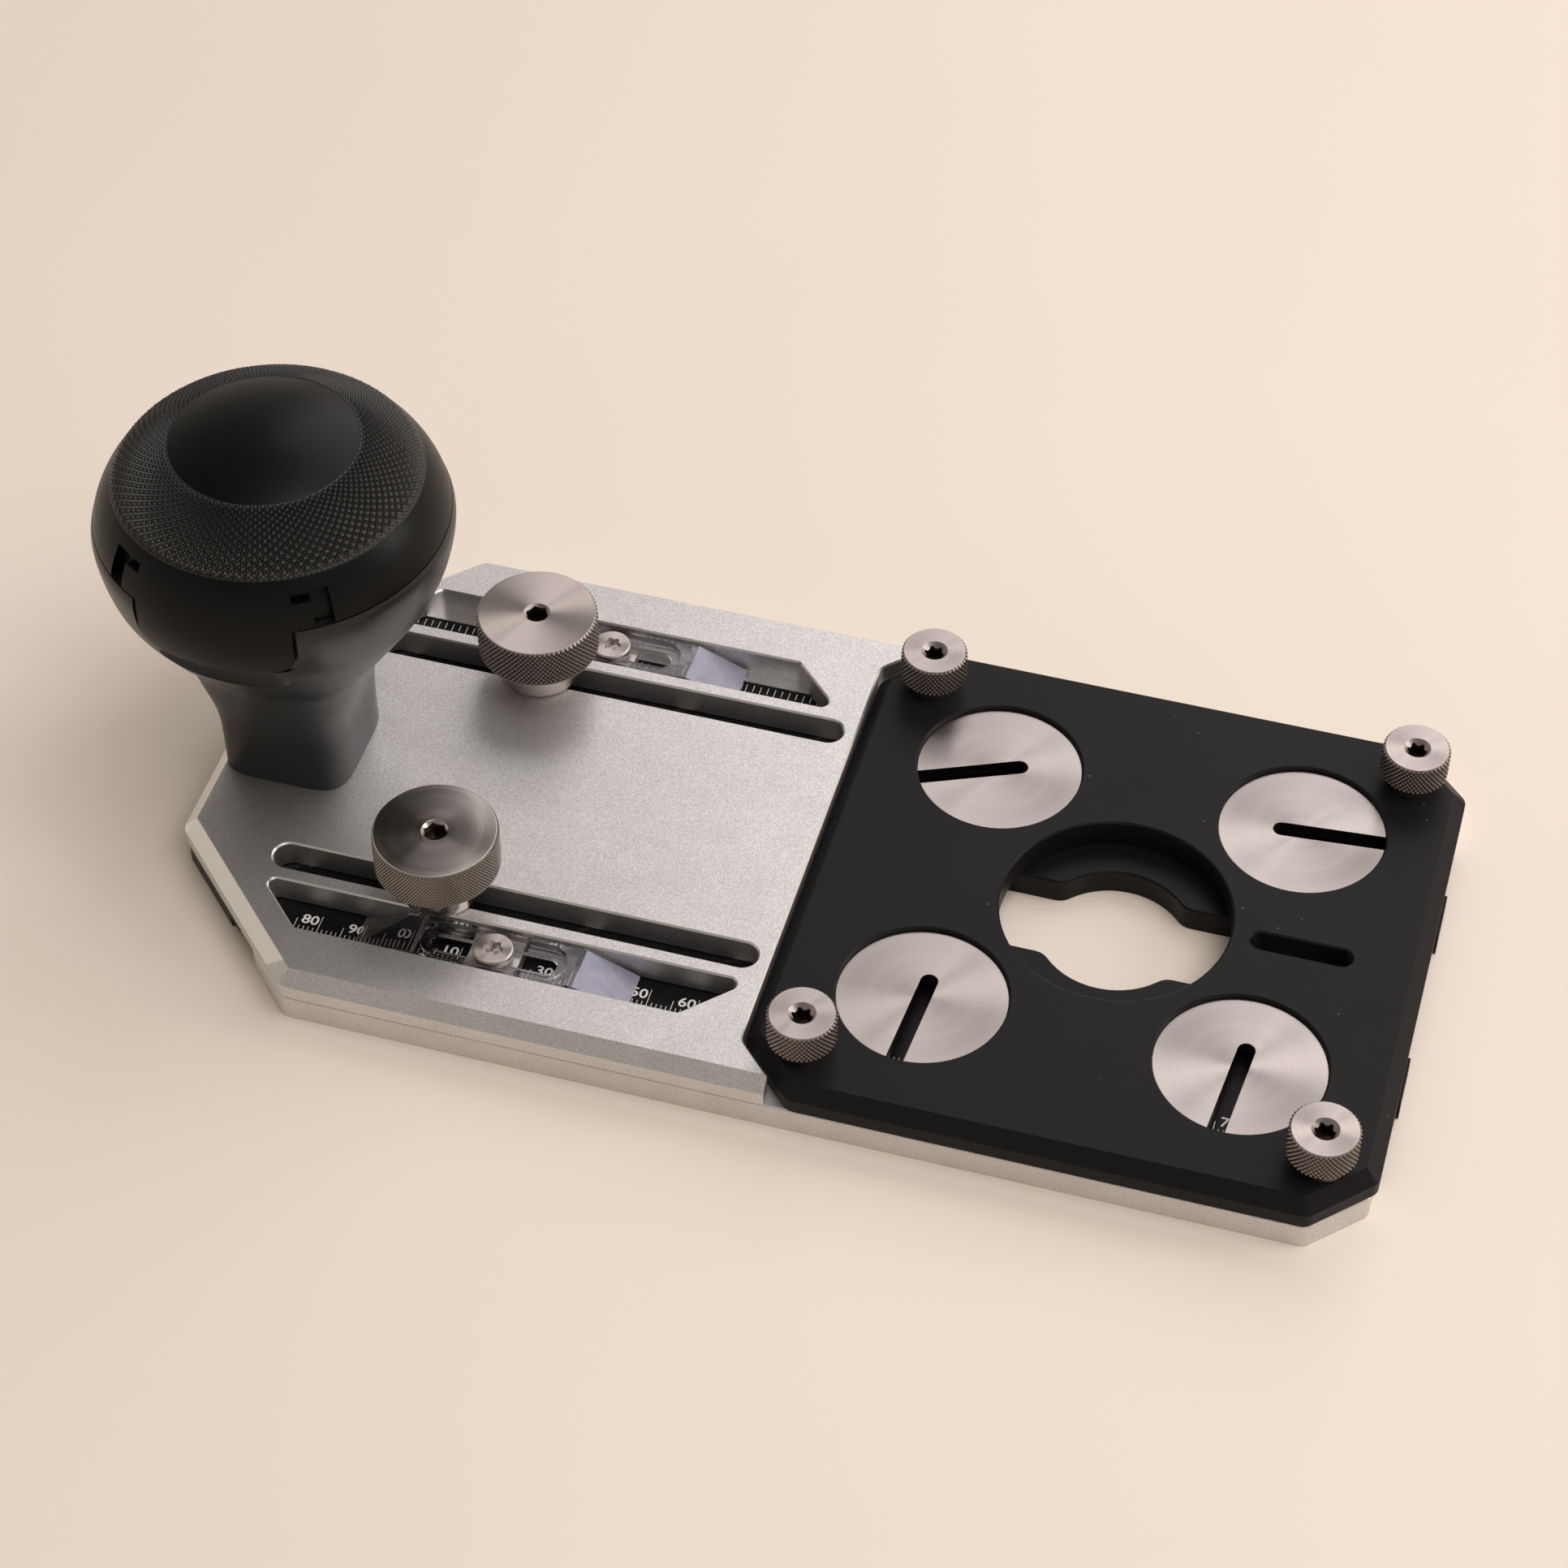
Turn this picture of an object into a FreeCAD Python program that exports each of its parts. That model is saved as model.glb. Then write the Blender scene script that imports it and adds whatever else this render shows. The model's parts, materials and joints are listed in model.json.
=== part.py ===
"""Compact router table: a two-plate aluminium base with a sliding scale and a ball handle.

Frame: millimetres, +Z up, the object rests on z = 0.  +X runs from the handle to the router
plate, +Y runs away from the front rail, and the origin is under the middle of the whole object.
"""
import FreeCAD
import Part
import math
import os

V = FreeCAD.Vector

# ---------------------------------------------------------------- driving dimensions
# layers
rail_height = 6.2            # rails, the lower silver layer
plate_thickness = 6.0        # top plate and router plate
plate_top = rail_height + plate_thickness
base_width = 126.0           # across both plates and rails, in Y
half_width = base_width / 2
edge_chamfer = 2.8           # wide 45 degree edge of both plates
edge_break = 0.35            # small broken edge round slots and windows
corner_round = 3.0           # vertical corner radius of the plates

# handle and the overall length
ball_radius = 35.9           # at its widest, below the lid
handle_to_bit = 174.6        # from the handle's axis to the router bit's axis
router_plate_right = 63.0    # from the bit's axis to the router plate's far edge
tab_reach = 0.5              # slide's end tabs past the router plate
bit_x = (handle_to_bit + ball_radius - router_plate_right - tab_reach) / 2
handle_x = bit_x - handle_to_bit

# router plate
router_plate_left = bit_x - 62.85
router_corner_cut = 11.7
aperture_radius = 23.6
centre_slot_length = 20.6
centre_slot_width = 4.4
centre_slot_offset = 37.9    # from the bit's axis to the middle of the small slot

# slotted steel discs
disc_offset = 32.0           # disc centres from the bit's axis, in X and in Y
disc_radius = 17.15
disc_flange_radius = 19.2
disc_step = 1.4              # thickness of each of the disc's two steps
disc_recess = 1.0            # disc face below the plate's face
disc_fit = 0.1               # radial running clearance of a disc
disc_axial_gap = 0.05
disc_slot_width = 3.6
disc_slot_past_centre = 6.0
disc_angles = {"back_left": -156.7, "back_right": 4.7, "front_left": -94.4, "front_right": -95.0}
ring_thickness = 0.9
ring_radial = 2.4

# corner thumb screws
thumb_offset = 51.3          # from the bit's axis, in X and in Y
thumb_radius = 7.05
thumb_face_radius = 6.5
thumb_collar_radius = 5.3
thumb_collar_height = 3.2
thumb_height = 10.1
thumb_shank_radius = 2.5
thread_fit = 0.05            # radial clearance of a screw in its tapped hole
clearance_fit = 0.3          # radial clearance of a screw in a plain hole
seat_gap = 0.05              # under the seat of a screw that turns

# top plate
top_plate_left = bit_x - 190.3
plate_joint_gap = 0.35       # between the top plate and the router plate
top_plate_cut = 34.2         # 45 degree corners at the handle end
tip_gap = 1.3                # from the top plate's slanted tips to the router plate's corners
tip_length = 7.4             # how far the tips reach past the straight joint
knob_row = 32.0              # clamp knobs and their slots, from the middle in Y
slot_width = 6.5
slot_left = bit_x - 168.9
slot_right = bit_x - 65.9
window_inner = 38.4          # scale windows, from the middle in Y
window_width = 11.3
window_length = 103.4        # along the window's long side
window_centre_front = bit_x - 117.5
window_centre_back = bit_x - 120.8
window_round = 1.6
bridge_length = 10.6         # bar across each window that holds the cursor's screw
bridge_height = 2.8

# rails
rail_left = bit_x - 166.3
rail_right = bit_x + 62.0
rail_corner_cut = 10.5
ledge_height = 2.7           # rail ledge that carries the slide's flange
rail_screw_places = (bit_x - 148.0, bit_x - 108.0, bit_x - 72.0)
rail_screw_row = 55.2
rail_screw_radius = 2.0
rail_screw_head_radius = 3.8
rail_screw_bite = 3.8        # length of thread in the top plate
rail_screw_inset = 0.2       # heads below the rail's underside

# slide
slide_bottom = 0.15
slide_under_plate = 0.35     # gap between the slide's face and the plates
slide_top = rail_height - slide_under_plate
slide_half = 43.6
flange_reach = 3.0
side_fit = 0.1               # sliding clearance each side
slide_setback = 0.7          # slide's handle end inside the top plate's edge
slide_right = bit_x + router_plate_right - 0.6
tab_width = 11.0
tab_row = 22.0
bit_slot_half = 9.45
bit_slot_left = bit_x - 74.0
bit_slot_right = bit_x + 44.0
notch_radius = 15.6
notch_round = 4.0
clamp_x = bit_x - 132.8
hole_pitch = 31.0            # tapped holes along each row
hole_steps = (-1, 0, 1, 2)

# clamp knobs
knob_radius = 12.85
knob_face_radius = 12.3
knob_collar_radius = 8.1
knob_collar_height = 8.6
knob_height = 17.6
stud_radius = 3.0
stud_in_knob = 11.0
stud_floor_gap = 0.4
press_gap = 0.02
knob_hex_across = 4.2
recess_mouth_radius = 2.6
recess_depth = 3.2

# cursors
cursor_length = 58.0
cursor_side_gap = 0.7
cursor_drop = 0.6            # top face below the plate's face
cursor_bevel_run = 10.8
cursor_tip = 0.7
cursor_above_slide = 0.5
cursor_above_bridge = 0.1
cursor_travel = 11.0
cursor_pocket_depth = 1.3
cursor_slot_width = 4.4
cursor_head_radius = 4.1
cursor_head_height = 1.75
cursor_shank_radius = 2.0
cursor_end_room = 0.3

# ball handle
foot_half = 13.75
widest_height = 73.6
parting_height = 78.0
parting_gap = 0.3
handle_top = 100.0
side_radius = 22.0           # curve of the ball's side, above its widest height
crown_flat = 1.5             # small flat spot on top of the lid
cap_wall = 2.6
rim_radius = ball_radius - side_radius + math.sqrt(side_radius ** 2 - (parting_height - widest_height) ** 2)
section_pitch = 4.0          # spacing of the lofted sections
# outer form of the neck and bowl: height, half breadth, squareness of the section
handle_sections = (
    (plate_top, foot_half, 5.0),
    (20.0, 13.75, 5.0),
    (28.0, 14.2, 4.8),
    (36.0, 16.2, 4.2),
    (44.0, 19.3, 3.2),
    (52.0, 25.3, 2.5),
    (58.0, 29.6, 2.2),
    (64.0, 33.2, 2.1),
    (widest_height, ball_radius, 2.0),
    (parting_height, rim_radius, 2.0),
)
bowl_radius = 25.0
bowl_floor = 58.0
tab_half_width = 16.1
tab_bottom = 67.0
tab_corner = 4.0
tab_root = 1.5               # how far the tab's root rises inside the lid
tab_back = 31.2              # flat back of the latch tab, from the handle's axis
tab_gap = 0.8
notch_angle_inner = 28.0     # L-shaped slits beside the tab, in degrees from the front
notch_angle_outer = 41.0
notch_angle_bar = 34.5
notch_height = 7.2
notch_bar_height = 1.8
notch_depth = 2.0
scoop_radius = 6.5
scoop_centre_y = -33.5
scoop_centre_z = 60.5
scoop_half_length = 8.5
hinge_y = 36.4               # hinge axis, behind the handle's axis
hinge_z = parting_height - 3.0
barrel_radius = 2.4
barrel_half = 5.0            # half length of the cap's barrel
barrel_total_half = 9.5
barrel_gap = 0.3             # between the cap's barrel and the bowl
leaf_back = 34.4             # inner face of the leaf that joins the barrel to the cap
leaf_rise = 3.0
ear_root = 31.0              # inner end of the bowl's hinge ears
pin_radius = 1.2
pin_fit = 0.05
handle_screw_offset = 7.5
handle_screw_radius = 2.5
handle_screw_head_radius = 4.6
handle_screw_length = 17.0
insert_radius = 3.6
insert_length = 10.0
insert_fit = 0.02
head_inset = 0.1             # countersunk heads below the plate's underside

ROWS = {"front": -1, "back": 1}


# ---------------------------------------------------------------- shared forms
def cylinder(radius, height, x=0.0, y=0.0, z=0.0):
    return Part.makeCylinder(radius, height, V(x, y, z), V(0, 0, 1))


def box(x0, x1, y0, y1, z0, z1):
    return Part.makeBox(x1 - x0, y1 - y0, z1 - z0, V(x0, y0, z0))


def prism(points, z0, z1):
    wire = Part.makePolygon([V(x, y, z0) for x, y in points + points[:1]])
    return Part.Face(wire).extrude(V(0, 0, z1 - z0))


def vertical_edges(shape, keep=None):
    found = []
    for edge in shape.Edges:
        first, last = edge.Vertexes[0].Point, edge.Vertexes[-1].Point
        upright = abs(first.x - last.x) < 1e-6 and abs(first.y - last.y) < 1e-6
        if upright and abs(first.z - last.z) > 1e-6 and (keep is None or keep(first)):
            found.append(edge)
    return found


def level_edges(shape, z, keep=None):
    found = []
    for edge in shape.Edges:
        bounds = edge.BoundBox
        if abs(bounds.ZMin - z) < 1e-6 and abs(bounds.ZMax - z) < 1e-6:
            middle = edge.valueAt((edge.FirstParameter + edge.LastParameter) / 2)
            if keep is None or keep(middle):
                found.append(edge)
    return found


def obround(x0, x1, y, width, z0, z1):
    """A straight slot with round ends that reach x0 and x1."""
    r = width / 2
    body = box(x0 + r, x1 - r, y - r, y + r, z0, z1)
    ends = [cylinder(r, z1 - z0, x, y, z0) for x in (x0 + r, x1 - r)]
    return body.fuse(ends).removeSplitter()


def turned(profile, x=0.0, y=0.0):
    """A solid of revolution about a vertical axis; profile is (radius, z) points."""
    points = [V(r, 0, z) for r, z in profile]
    face = Part.Face(Part.makePolygon(points + points[:1]))
    solid = face.revolve(V(0, 0, 0), V(0, 0, 1), 360)
    solid.translate(V(x, y, 0))
    return solid


def hex_prism(across, depth, x, y, z):
    r = across / math.sqrt(3)
    points = [(x + r * math.cos(math.radians(60 * i)), y + r * math.sin(math.radians(60 * i)))
              for i in range(6)]
    return prism(points, z, z + depth)


def six_lobe(radius, depth, x, y, z):
    """Six-lobed screw recess: a core with six round lobes."""
    cutter = cylinder(radius * 0.8, depth, x, y, z)
    lobes = []
    for i in range(6):
        a = math.radians(60 * i)
        lobes.append(cylinder(radius * 0.24, depth, x + radius * 0.76 * math.cos(a),
                              y + radius * 0.76 * math.sin(a), z))
    return cutter.fuse(lobes).removeSplitter()


def mouth(radius, x, y, z, depth=0.6):
    """Cone that bevels the mouth of a recess."""
    return turned([(0, z - depth), (radius - depth, z - depth), (radius, z), (0, z)], x, y)


# ---------------------------------------------------------------- plates
def window_points(side):
    centre = window_centre_front if side < 0 else window_centre_back
    inner = side * window_inner
    outer = side * (window_inner + window_width)
    half = window_length / 2
    short = half - window_width
    return [(centre - half, inner), (centre + half, inner), (centre + short, outer), (centre - short, outer)]


def window_cutter(side, z0, z1):
    shape = prism(window_points(side), z0, z1)
    return shape.makeFillet(window_round, vertical_edges(shape))


def bridge(side):
    centre = window_centre_front if side < 0 else window_centre_back
    inner, outer = side * window_inner, side * (window_inner + window_width)
    low, high = min(inner, outer), max(inner, outer)
    return box(centre - bridge_length / 2, centre + bridge_length / 2, low, high,
               rail_height, rail_height + bridge_height)


def top_plate_outline():
    left, right = top_plate_left, router_plate_left - plate_joint_gap
    slant = router_corner_cut + plate_joint_gap - tip_gap * math.sqrt(2)
    tip = right + tip_length
    start = half_width - slant
    return [(left, -half_width + top_plate_cut), (left + top_plate_cut, -half_width), (tip, -half_width),
            (tip, -(start + tip_length)), (right, -start), (right, start), (tip, start + tip_length),
            (tip, half_width), (left + top_plate_cut, half_width), (left, half_width - top_plate_cut)]


def make_top_plate():
    right = router_plate_left - plate_joint_gap
    shape = prism(top_plate_outline(), rail_height, plate_top)
    shape = shape.makeFillet(corner_round, vertical_edges(shape, lambda p: p.x < right + 0.1))

    def outer(p):
        return p.x < right - 1 or abs(p.y) > half_width - 0.01

    shape = shape.makeChamfer(edge_chamfer, level_edges(shape, plate_top, outer))
    shape = shape.makeChamfer(edge_break, level_edges(shape, plate_top, lambda p: p.x > right - 0.5
                                                      and abs(p.y) < half_width - edge_chamfer - 0.5))
    for side in ROWS.values():
        window = window_cutter(side, rail_height - 1, plate_top + 1)
        slot = obround(slot_left, slot_right, side * knob_row, slot_width, rail_height - 1, plate_top + 1)
        shape = shape.cut(window).cut(slot)
    shape = shape.makeChamfer(edge_break, level_edges(shape, plate_top, inside_openings))
    for side in ROWS.values():
        centre = window_centre_front if side < 0 else window_centre_back
        middle = side * (window_inner + window_width / 2)
        shape = shape.fuse(bridge(side)).removeSplitter()
        shape = shape.cut(cylinder(cursor_shank_radius + thread_fit, plate_thickness, centre, middle, rail_height - 1))
        for x in rail_screw_places:
            shape = shape.cut(cylinder(rail_screw_radius + press_gap, rail_screw_bite + 0.4,
                                       x, side * rail_screw_row, rail_height))
    for x in (handle_x - handle_screw_offset, handle_x + handle_screw_offset):
        shape = shape.cut(cylinder(handle_screw_radius + clearance_fit, plate_thickness + 2, x, 0, rail_height - 1))
        shape = shape.cut(countersink(x, 0, rail_height, handle_screw_head_radius + 0.15,
                                      handle_screw_radius + clearance_fit))
    return shape


def inside_openings(p):
    right = router_plate_left - plate_joint_gap
    edge = half_width - edge_chamfer - 1
    if p.x > right - 1 or abs(p.y) > edge:
        return False
    if p.x < top_plate_left + edge_chamfer + 1:
        return False
    return abs(p.y) > knob_row - slot_width and p.x - abs(p.y) > top_plate_left - half_width + top_plate_cut + 6


def countersink(x, y, z, head_radius, shank_radius):
    """Cone that opens downwards at z."""
    depth = head_radius - shank_radius
    return turned([(0, z - 0.5), (head_radius, z - 0.5), (head_radius, z), (shank_radius, z + depth),
                   (0, z + depth)], x, y)


def router_outline():
    left, right = router_plate_left, bit_x + router_plate_right
    c, h = router_corner_cut, half_width
    return [(left + c, -h), (right - c, -h), (right, -h + c), (right, h - c), (right - c, h), (left + c, h),
            (left, h - c), (left, -h + c)]


def disc_centre(name):
    y_sign = 1 if name.startswith("back") else -1
    x_sign = -1 if name.endswith("left") else 1
    return bit_x + x_sign * disc_offset, y_sign * disc_offset


def thumb_centre(name):
    y_sign = 1 if name.startswith("back") else -1
    x_sign = -1 if name.endswith("left") else 1
    return bit_x + x_sign * thumb_offset, y_sign * thumb_offset


def disc_levels():
    """Face, step, flange underside and ring underside of a disc."""
    face = plate_top - disc_recess
    step = face - disc_step
    under = step - disc_step
    return face, step, under, under - disc_axial_gap - ring_thickness


def make_router_plate():
    shape = prism(router_outline(), rail_height, plate_top)
    shape = shape.makeFillet(corner_round, vertical_edges(shape))
    shape = shape.makeChamfer(edge_chamfer, level_edges(shape, plate_top))
    face, step, under, ring_low = disc_levels()
    low = rail_height - 1
    shape = shape.cut(cylinder(aperture_radius, plate_thickness + 2, bit_x, 0, low))
    x = bit_x + centre_slot_offset
    shape = shape.cut(obround(x - centre_slot_length / 2, x + centre_slot_length / 2, 0, centre_slot_width,
                              low, plate_top + 1))
    for name in disc_angles:
        x, y = disc_centre(name)
        shape = shape.cut(cylinder(disc_radius + disc_fit, plate_top + 1 - low, x, y, low))
    shape = shape.makeChamfer(edge_break, level_edges(shape, plate_top, on_plate_hole))
    for name in disc_angles:
        x, y = disc_centre(name)
        flange_bore = disc_flange_radius + disc_fit
        shape = shape.cut(cylinder(flange_bore, step + disc_axial_gap - low, x, y, low))
        shape = shape.cut(cylinder(flange_bore + ring_radial / 4, ring_thickness + 0.04, x, y, ring_low - 0.02))
        shape = shape.cut(cylinder(thumb_shank_radius + clearance_fit, plate_thickness + 2,
                                   *thumb_centre(name), low))
    return shape


def on_plate_hole(p):
    inset = half_width - edge_chamfer - 1
    return abs(p.y) < inset and abs(p.x - bit_x) < inset and abs(p.x - bit_x) + abs(p.y) < 2 * inset - 9


def make_disc(name):
    x, y = disc_centre(name)
    face, step, under, ring_low = disc_levels()
    shape = turned([(0, under), (disc_flange_radius, under), (disc_flange_radius, step),
                    (disc_radius, step), (disc_radius, face), (0, face)])
    half = disc_slot_width / 2
    inner = -disc_slot_past_centre + half
    slot = box(inner, disc_flange_radius + 1, -half, half, under - 1, face + 1)
    slot = slot.fuse(cylinder(half, face - under + 2, inner, 0, under - 1))
    shape = shape.cut(slot)
    shape.rotate(V(0, 0, 0), V(0, 0, 1), disc_angles[name])
    shape.translate(V(x, y, 0))
    return shape


def make_retaining_ring(name):
    x, y = disc_centre(name)
    ring_low = disc_levels()[3]
    outer = disc_flange_radius + disc_fit + ring_radial / 4 - 0.05
    ring = cylinder(outer, ring_thickness, x, y, ring_low)
    ring = ring.cut(cylinder(outer - ring_radial, ring_thickness + 2, x, y, ring_low - 1))
    gap = box(x - 2.0, x + 2.0, y - outer - 1, y, ring_low - 1, ring_low + ring_thickness + 1)
    return ring.cut(gap)


def make_thumb_screw(name):
    x, y = thumb_centre(name)
    base = plate_top + seat_gap
    top = plate_top + thumb_height
    edge = thumb_radius - thumb_face_radius
    shape = turned([(0, 1.0), (thumb_shank_radius - 0.5, 1.0), (thumb_shank_radius, 1.5),
                    (thumb_shank_radius, base), (thumb_collar_radius, base),
                    (thumb_collar_radius, base + thumb_collar_height - 1.0),
                    (thumb_radius - 0.4, base + thumb_collar_height),
                    (thumb_radius, base + thumb_collar_height + 0.4), (thumb_radius, top - edge),
                    (thumb_face_radius, top), (0, top)], x, y)
    shape = shape.cut(six_lobe(recess_mouth_radius - 0.3, recess_depth + 1, x, y, top - recess_depth))
    return shape.cut(mouth(recess_mouth_radius, x, y, top + 0.001))


# ---------------------------------------------------------------- rails and slide
def rail_outline(side):
    lane = slide_half + side_fit
    cut_at = top_plate_left + top_plate_cut
    notch_y = half_width - (cut_at - rail_left)
    points = [(rail_left, lane), (rail_right, lane), (rail_right, half_width - rail_corner_cut),
              (rail_right - rail_corner_cut, half_width), (cut_at, half_width), (rail_left, notch_y)]
    return [(x, side * y) for x, y in points]


def make_rail(side):
    shape = prism(rail_outline(side), 0, rail_height)
    outer_corners = vertical_edges(shape, lambda p: abs(p.y) > slide_half + 1)
    shape = shape.makeFillet(corner_round, outer_corners)
    lane = slide_half + flange_reach + side_fit
    rebate = box(rail_left - 1, rail_right + 1, min(side * lane, side * slide_half),
                 max(side * lane, side * slide_half), ledge_height, rail_height + 1)
    shape = shape.cut(rebate)
    for x in rail_screw_places:
        y = side * rail_screw_row
        shape = shape.cut(cylinder(rail_screw_radius + press_gap, rail_height + 2, x, y, -1))
        shape = shape.cut(countersink(x, y, rail_screw_inset, rail_screw_head_radius, rail_screw_radius + press_gap))
        shape = shape.cut(cylinder(rail_screw_head_radius, rail_screw_inset + 1, x, y, -1))
    for x_sign in (-1, 1):
        shape = shape.cut(cylinder(thumb_shank_radius + thread_fit, rail_height + 2,
                                   bit_x + x_sign * thumb_offset, side * thumb_offset, -1))
    return shape.makeChamfer(edge_break, level_edges(shape, rail_height, lambda p: abs(p.y) > half_width - 0.01
                                                     and p.x < rail_right - rail_corner_cut))


def make_rail_screws(side):
    screws = []
    for x in rail_screw_places:
        z = rail_screw_inset
        depth = rail_screw_head_radius - rail_screw_radius
        tip = rail_height + rail_screw_bite
        screw = turned([(0, z), (rail_screw_head_radius - 0.05, z), (rail_screw_radius, z + depth - 0.05),
                        (rail_screw_radius, tip), (0, tip)], x, side * rail_screw_row)
        screws.append(screw.cut(hex_prism(2.5, 1.4, x, side * rail_screw_row, z - 0.1)))
    return Part.makeCompound(screws)


def slide_outline(half):
    left = top_plate_left + slide_setback
    cut_at = left + top_plate_cut - (half_width - half)
    y_left = half - (cut_at - left)
    return [(left, -y_left), (cut_at, -half), (slide_right, -half), (slide_right, half), (cut_at, half),
            (left, y_left)]


def bit_opening():
    """Straight slot for the bit with a round opening, its shoulders rounded off."""
    slot = obround(bit_slot_left, bit_slot_right, 0, 2 * bit_slot_half, slide_bottom - 1, slide_top + 1)
    shape = slot.fuse(cylinder(notch_radius, slide_top - slide_bottom + 2, bit_x, 0, slide_bottom - 1))
    shape = shape.removeSplitter()
    reach = math.sqrt(notch_radius ** 2 - bit_slot_half ** 2)

    def shoulder(p):
        return abs(abs(p.x - bit_x) - reach) < 0.01 and abs(abs(p.y) - bit_slot_half) < 0.01

    return shape.makeFillet(notch_round, vertical_edges(shape, shoulder))


def make_slide():
    body = prism(slide_outline(slide_half), slide_bottom, slide_top)
    flange = prism(slide_outline(slide_half + flange_reach), ledge_height + side_fit * 2, slide_top)
    shape = body.fuse(flange).removeSplitter()
    for side in ROWS.values():
        y = side * tab_row
        tab = box(slide_right - 1, bit_x + router_plate_right + tab_reach, y - tab_width / 2, y + tab_width / 2,
                  slide_bottom, slide_top)
        shape = shape.fuse(tab)
    shape = shape.removeSplitter().cut(bit_opening())
    shape = shape.makeChamfer(edge_break, level_edges(shape, slide_top, on_bit_opening))
    for side in ROWS.values():
        for step in hole_steps:
            x, y = clamp_x + step * hole_pitch, side * knob_row
            shape = shape.cut(cylinder(stud_radius + thread_fit, slide_top + 2, x, y, -1))
            shape = shape.cut(turned([(0, slide_top - 0.6), (stud_radius, slide_top - 0.6),
                                      (stud_radius + 0.7, slide_top + 0.1), (0, slide_top + 0.1)], x, y))
    return shape


def on_bit_opening(p):
    return bit_slot_left - 0.1 < p.x < bit_slot_right + 0.1 and abs(p.y) < notch_radius + 0.1


def make_clamp_knob(side):
    x, y = clamp_x, side * knob_row
    base = plate_top + seat_gap
    top = plate_top + knob_height
    edge = knob_radius - knob_face_radius
    shape = turned([(0, base), (knob_collar_radius - 0.4, base), (knob_collar_radius, base + 0.4),
                    (knob_collar_radius, base + knob_collar_height - 0.8),
                    (knob_radius - 0.4, base + knob_collar_height - 0.4),
                    (knob_radius, base + knob_collar_height), (knob_radius, top - edge),
                    (knob_face_radius, top), (0, top)], x, y)
    shape = shape.cut(cylinder(stud_radius + press_gap, stud_in_knob + 0.2, x, y, base))
    shape = shape.cut(hex_prism(knob_hex_across, recess_depth + 1, x, y, top - recess_depth))
    return shape.cut(mouth(recess_mouth_radius, x, y, top + 0.001))


def make_clamp_stud(side):
    x, y = clamp_x, side * knob_row
    low = slide_bottom + stud_floor_gap
    high = plate_top + seat_gap + stud_in_knob
    return turned([(0, low), (stud_radius - 0.5, low), (stud_radius, low + 0.5), (stud_radius, high), (0, high)],
                  x, y)


# ---------------------------------------------------------------- cursors
def cursor_frame(side):
    centre = window_centre_front if side < 0 else window_centre_back
    middle = side * (window_inner + window_width / 2)
    return centre, middle


def make_cursor(side):
    centre, middle = cursor_frame(side)
    half_y = window_width / 2 - cursor_side_gap
    low = slide_top + cursor_above_slide
    top = plate_top - cursor_drop
    half = cursor_length / 2
    points = [(-half, low), (half, low), (half, low + cursor_tip), (half - cursor_bevel_run, top),
              (-half + cursor_bevel_run, top), (-half, low + cursor_tip)]
    wire = Part.makePolygon([V(centre + x, middle - half_y, z) for x, z in points + points[:1]])
    shape = Part.Face(wire).extrude(V(0, 2 * half_y, 0))
    notch_half = bridge_length / 2 + cursor_travel + cursor_end_room
    roof = rail_height + bridge_height + cursor_above_bridge
    shape = shape.cut(box(centre - notch_half, centre + notch_half, middle - half_y - 1, middle + half_y + 1,
                          low - 1, roof))
    reach = cursor_travel + cursor_end_room
    floor = top - cursor_pocket_depth
    pocket_half = reach + cursor_head_radius
    slot_half = reach + cursor_shank_radius
    shape = shape.cut(obround(centre - pocket_half, centre + pocket_half, middle,
                              2 * (cursor_head_radius + clearance_fit), floor, top + 1))
    return shape.cut(obround(centre - slot_half, centre + slot_half, middle, cursor_slot_width, low - 1, top + 1))


def make_cursor_screw(side):
    x, y = cursor_frame(side)
    base = plate_top - cursor_drop - cursor_pocket_depth + seat_gap
    top = base + cursor_head_height
    low = rail_height + 0.2
    shape = turned([(0, low), (cursor_shank_radius, low), (cursor_shank_radius, base), (cursor_head_radius, base),
                    (cursor_head_radius, top - 0.3), (cursor_head_radius - 0.3, top), (0, top)], x, y)
    return shape.cut(six_lobe(1.95, 1.2, x, y, top - 1.1))


# ---------------------------------------------------------------- ball handle
def section_wire(half, squareness, z):
    """Closed smooth section; squareness 2 is a circle, higher is a rounded square."""
    points = []
    count = 32
    for i in range(count):
        a = 2 * math.pi * i / count
        c, s = math.cos(a), math.sin(a)
        r = half / (abs(c) ** squareness + abs(s) ** squareness) ** (1 / squareness)
        points.append(V(handle_x + r * c, r * s, z))
    curve = Part.BSplineCurve()
    curve.interpolate(points, PeriodicFlag=True)
    return Part.Wire([curve.toShape()])


def eased(z, column):
    """Value of a handle_sections column at z, by cubic curves with matching slopes."""
    heights = [row[0] for row in handle_sections]
    values = [row[column] for row in handle_sections]
    last = len(heights) - 1

    def slope(i):
        a, b = max(i - 1, 0), min(i + 1, last)
        return (values[b] - values[a]) / (heights[b] - heights[a])

    i = max(k for k in range(last) if heights[k] <= z or k == 0)
    span = heights[i + 1] - heights[i]
    t = (z - heights[i]) / span
    return (values[i] * (1 + 2 * t) * (1 - t) ** 2 + values[i + 1] * t * t * (3 - 2 * t)
            + span * t * (1 - t) * (slope(i) * (1 - t) - slope(i + 1) * t))


def lower_form():
    count = round((parting_height - plate_top) / section_pitch)
    levels = [plate_top + (parting_height - plate_top) * i / count for i in range(count + 1)]
    wires = [section_wire(eased(z, 1), eased(z, 2), z) for z in levels]
    return Part.makeLoft(wires, True, False)


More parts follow.
